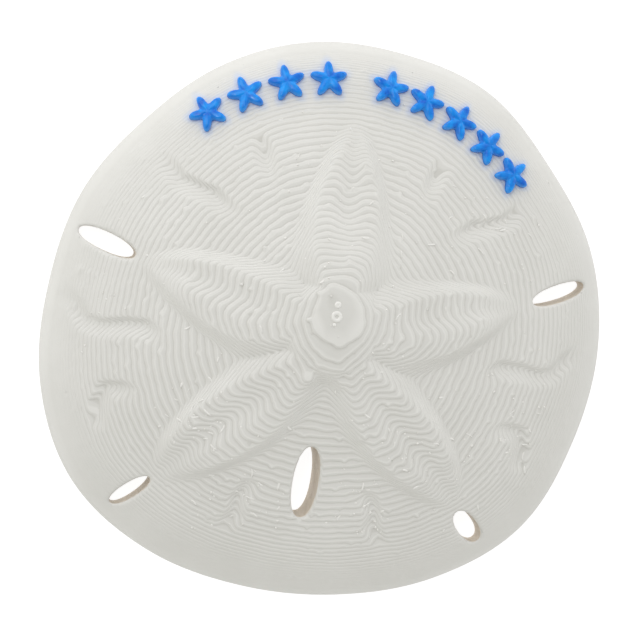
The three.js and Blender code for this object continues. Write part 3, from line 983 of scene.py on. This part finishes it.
# Painted light: the white plastic is tinted blue for a millimetre or so around each star, a painted
# glow of the light that passes through and reflects off the clear blue.
mark_points(disc_mesh, "painted_blue_glow", blue_glow_around)
tree = white.node_tree
blue_glow_place = add_node(tree, "Attribute", {}, output="Fac", attribute_name="painted_blue_glow")
blue_glow_share = add_node(tree, "Math", {0: blue_glow_place, 1: BLUE_GLOW_SHARE}, operation="MULTIPLY")
blue_glow_mix = {0: blue_glow_share, 6: white_tone, 7: linear("#9DBDF2")}
blue_glowing_tone = add_node(tree, "Mix", blue_glow_mix, output=2, data_type="RGBA")
tree.links.new(blue_glowing_tone, white_shader.inputs["Base Color"])

# ---------------------------------------------------------------------------------------------
# The studio: a sheet of bright white paper, a light tent that is brighter low down and towards the
# front of the disc, and a large and a small softbox at the front left. The camera looks down from
# a little to the left.

FLOOR_SIZE = 1.2
FIBRE_WIDTH = 2.5
PAPER_GLOW = 0.9
bpy.ops.mesh.primitive_plane_add(size=FLOOR_SIZE, location=(0, 0, 0))
floor = bpy.context.object
floor.name = "floor"
paper, tree, shader = new_material("white_paper")
spot = add_node(tree, "TexCoord", {}, output="Object")
fibre_inputs = {"Vector": spot, "Scale": 1 / (FIBRE_WIDTH * MM), "Detail": 4}
fibre = add_node(tree, "TexNoise", fibre_inputs, output="Fac")
pulp = {0: fibre, 6: linear("#868686"), 7: linear("#959595")}
tone = add_node(tree, "Mix", pulp, output=2, data_type="RGBA")
matt = add_node(tree, "MapRange", {0: fibre, 1: 0, 2: 1, 3: 0.85, 4: 0.95})
tree.links.new(tone, shader.inputs["Base Color"])
tree.links.new(matt, shader.inputs["Roughness"])
shader.inputs["Emission Color"].default_value = linear("#FFFFFF")
shader.inputs["Emission Strength"].default_value = PAPER_GLOW
floor.data.materials.append(paper)

TENT_WAY = math.radians(76)
TENT_LOW, TENT_HIGH, TENT_SIDE = 1.4, 0.36, 0.27
WARM_FROM, WARM_TO = -1, 0.4
world = bpy.data.worlds.new("light_tent")
world.use_nodes = True
bpy.context.scene.world = world
tree = world.node_tree
way = add_node(tree, "TexCoord", {}, output="Generated")
climb = add_node(tree, "SeparateXYZ", {0: way}, output=2)
level = add_node(tree, "MapRange", {0: climb, 1: 0, 2: 1, 3: TENT_LOW, 4: TENT_HIGH})
tent_way = (math.cos(TENT_WAY), math.sin(TENT_WAY), 0)
side = add_node(tree, "VectorMath", {0: way, 1: tent_way}, output="Value", operation="DOT_PRODUCT")
side_light = add_node(tree, "Math", {0: side, 1: TENT_SIDE}, operation="MULTIPLY")
strength = add_node(tree, "Math", {0: level, 1: side_light}, operation="ADD")
warmth = add_node(tree, "MapRange", {0: side, 1: WARM_FROM, 2: WARM_TO, 3: 1, 4: 0})
cloth = {0: warmth, 6: linear("#FFFFFF"), 7: linear("#FFFFF8")}
tint = add_node(tree, "Mix", cloth, output=2, data_type="RGBA")
tree.links.new(tint, tree.nodes["Background"].inputs["Color"])
tree.links.new(strength, tree.nodes["Background"].inputs["Strength"])
bpy.context.scene.view_settings.view_transform = "Standard"


def softbox(name, direction, elevation, distance, size, power):
    """Adds a square lamp that faces the disc from a direction and elevation in degrees."""
    angle, height = math.radians(direction), math.radians(elevation)
    level_share = math.cos(height)
    way = Vector((math.cos(angle) * level_share, math.sin(angle) * level_share, math.sin(height)))
    data = bpy.data.lights.new(name, "AREA")
    data.size = size
    data.energy = power
    light = bpy.data.objects.new(name, data)
    light.location = way * distance
    light.rotation_euler = way.to_track_quat("Z", "Y").to_euler()
    bpy.context.scene.collection.objects.link(light)


softbox("front_softbox", direction=128, elevation=50, distance=0.45, size=0.3, power=0.4)
softbox("small_softbox", direction=140, elevation=62, distance=0.35, size=0.045, power=0.1)

DISTANCE = 0.288
LEAN_BACK = math.radians(11.3)
LEAN_WAY = math.radians(162.5)
ROLL = math.radians(7.5)
FRAME_WIDTH = 0.1145
SENSOR = 36
TARGET = Vector((-0.00184, 0.00017, 0))
lean_out = math.sin(LEAN_BACK)
towards = Vector((lean_out * math.cos(LEAN_WAY), lean_out * math.sin(LEAN_WAY), math.cos(LEAN_BACK)))
picture_up = Vector((-math.sin(ROLL), math.cos(ROLL), 0))
right = picture_up.cross(towards).normalized()
up = towards.cross(right)
camera_data = bpy.data.cameras.new("camera")
camera_data.sensor_width = SENSOR
camera_data.lens = SENSOR * DISTANCE / FRAME_WIDTH
camera = bpy.data.objects.new("camera", camera_data)
bpy.context.scene.collection.objects.link(camera)
place = Matrix((right, up, towards)).transposed().to_4x4()
place.translation = TARGET + towards * DISTANCE
camera.matrix_world = place
bpy.context.scene.camera = camera
